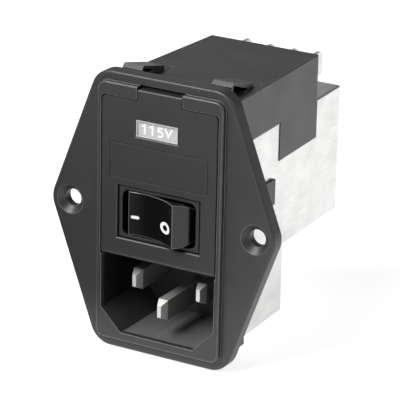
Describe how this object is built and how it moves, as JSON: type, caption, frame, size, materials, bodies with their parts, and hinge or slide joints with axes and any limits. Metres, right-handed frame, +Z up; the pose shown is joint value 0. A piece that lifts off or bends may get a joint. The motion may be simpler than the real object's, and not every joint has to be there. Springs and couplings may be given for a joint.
{
  "type": "filtered power entry module",
  "caption": "Panel power entry module: hexagonal flange, hinged fuse door, rocker switch, pin inlet, rear blade terminals and a stepped metal filter can.",
  "frame": {"origin": "midway between the two flange screws, on the flange's rear seating face", "axes": "+Z up, -Y out of the front of the inlet, +Y to the rear blades, +X to the right seen from the front"},
  "size_m": [0.0482, 0.0612, 0.0551],
  "materials": {
    "black_moulding": "fine satin, light grain",
    "door_moulding": "fine satin, light grain",
    "switch_moulding": "smooth, half gloss",
    "tag_plastic": "light grey, satin",
    "drawer_plastic": "fine satin",
    "plated_brass": "bright tin plating",
    "contact_brass": "stamped, satin",
    "spring_steel": "bright wire",
    "fuse_glass": "clear",
    "fuse_cap_metal": "bright nickel plating",
    "fuse_wire_metal": "drawn wire",
    "can_metal": "deep-drawn tinned sheet, satin",
    "board_laminate": "green laminate",
    "ferrite": "fired, dark grey",
    "enamelled_copper": "enamelled wire, glossy",
    "capacitor_box": "moulded box, half gloss",
    "capacitor_disc": "dipped, glossy",
    "resistor_body": "lacquered",
    "wire_blue": "insulation",
    "wire_brown": "insulation"
  },
  "bodies": {
    "module": {"inlet_housing": "black_moulding", "fuse_drawer": "drawer_plastic", "voltage_plug": "tag_plastic", "voltage_plug_strips": "contact_brass", "switch_body": "switch_moulding", "left_pin": "plated_brass", "right_pin": "plated_brass", "earth_pin": "plated_brass", "outer_left_blade": "plated_brass", "inner_left_blade": "plated_brass", "inner_right_blade": "plated_brass", "outer_right_blade": "plated_brass", "earth_blade": "plated_brass", "earth_strap": "plated_brass", "front_fuse_clips": "contact_brass", "rear_fuse_clips": "contact_brass", "filter_can": "can_metal", "filter_board": "board_laminate", "choke_core": "ferrite", "left_winding": "enamelled_copper", "right_winding": "enamelled_copper", "x_capacitor": "capacitor_box", "bleed_resistor": "resistor_body", "left_fuse_glass": "fuse_glass", "left_fuse_caps": "fuse_cap_metal", "left_fuse_wire": "fuse_wire_metal", "left_y_capacitor": "capacitor_disc", "right_fuse_glass": "fuse_glass", "right_fuse_caps": "fuse_cap_metal", "right_fuse_wire": "fuse_wire_metal", "right_y_capacitor": "capacitor_disc", "left_pin_lead": "wire_blue", "right_pin_lead": "wire_brown", "left_fuse_lead": "wire_blue", "right_fuse_lead": "wire_brown", "upper_switch_lead": "wire_brown", "lower_switch_lead": "wire_blue", "upper_centre_terminal": "contact_brass", "upper_side_terminal": "contact_brass", "lower_centre_terminal": "contact_brass", "lower_side_terminal": "contact_brass"},
    "door": {"fuse_door": "door_moulding"},
    "rocker_body": {"rocker": "switch_moulding", "upper_plunger": "tag_plastic", "lower_plunger": "tag_plastic", "upper_plunger_spring": "spring_steel", "lower_plunger_spring": "spring_steel"},
    "upper_lever": {"upper_contact_lever": "contact_brass"},
    "lower_lever": {"lower_contact_lever": "contact_brass"}
  },
  "joints": [
    {"name": "door_hinge", "type": "hinge", "parent": "module", "child": "door", "pos_m": [0, -0.00295, -0.00795], "axis": [1, 0, 0], "range_deg": [0, 105]},
    {"name": "rocker_pivot", "type": "hinge", "parent": "module", "child": "rocker_body", "pos_m": [0, 0.0005, 0.0002], "axis": [0, 0, 1], "range_deg": [0, 24]},
    {"name": "upper_lever_rock", "type": "hinge", "parent": "module", "child": "upper_lever", "pos_m": [0, 0.0054, 0.0024], "axis": [0, 0, 1], "range_deg": [-20, 0]},
    {"name": "lower_lever_rock", "type": "hinge", "parent": "module", "child": "lower_lever", "pos_m": [0, 0.0054, -0.002], "axis": [0, 0, 1], "range_deg": [-20, 0]}
  ],
  "couplings": [
    {"joint": "upper_lever_rock", "follows": "rocker_pivot", "ratio": -0.83333},
    {"joint": "lower_lever_rock", "follows": "rocker_pivot", "ratio": -0.83333}
  ]
}
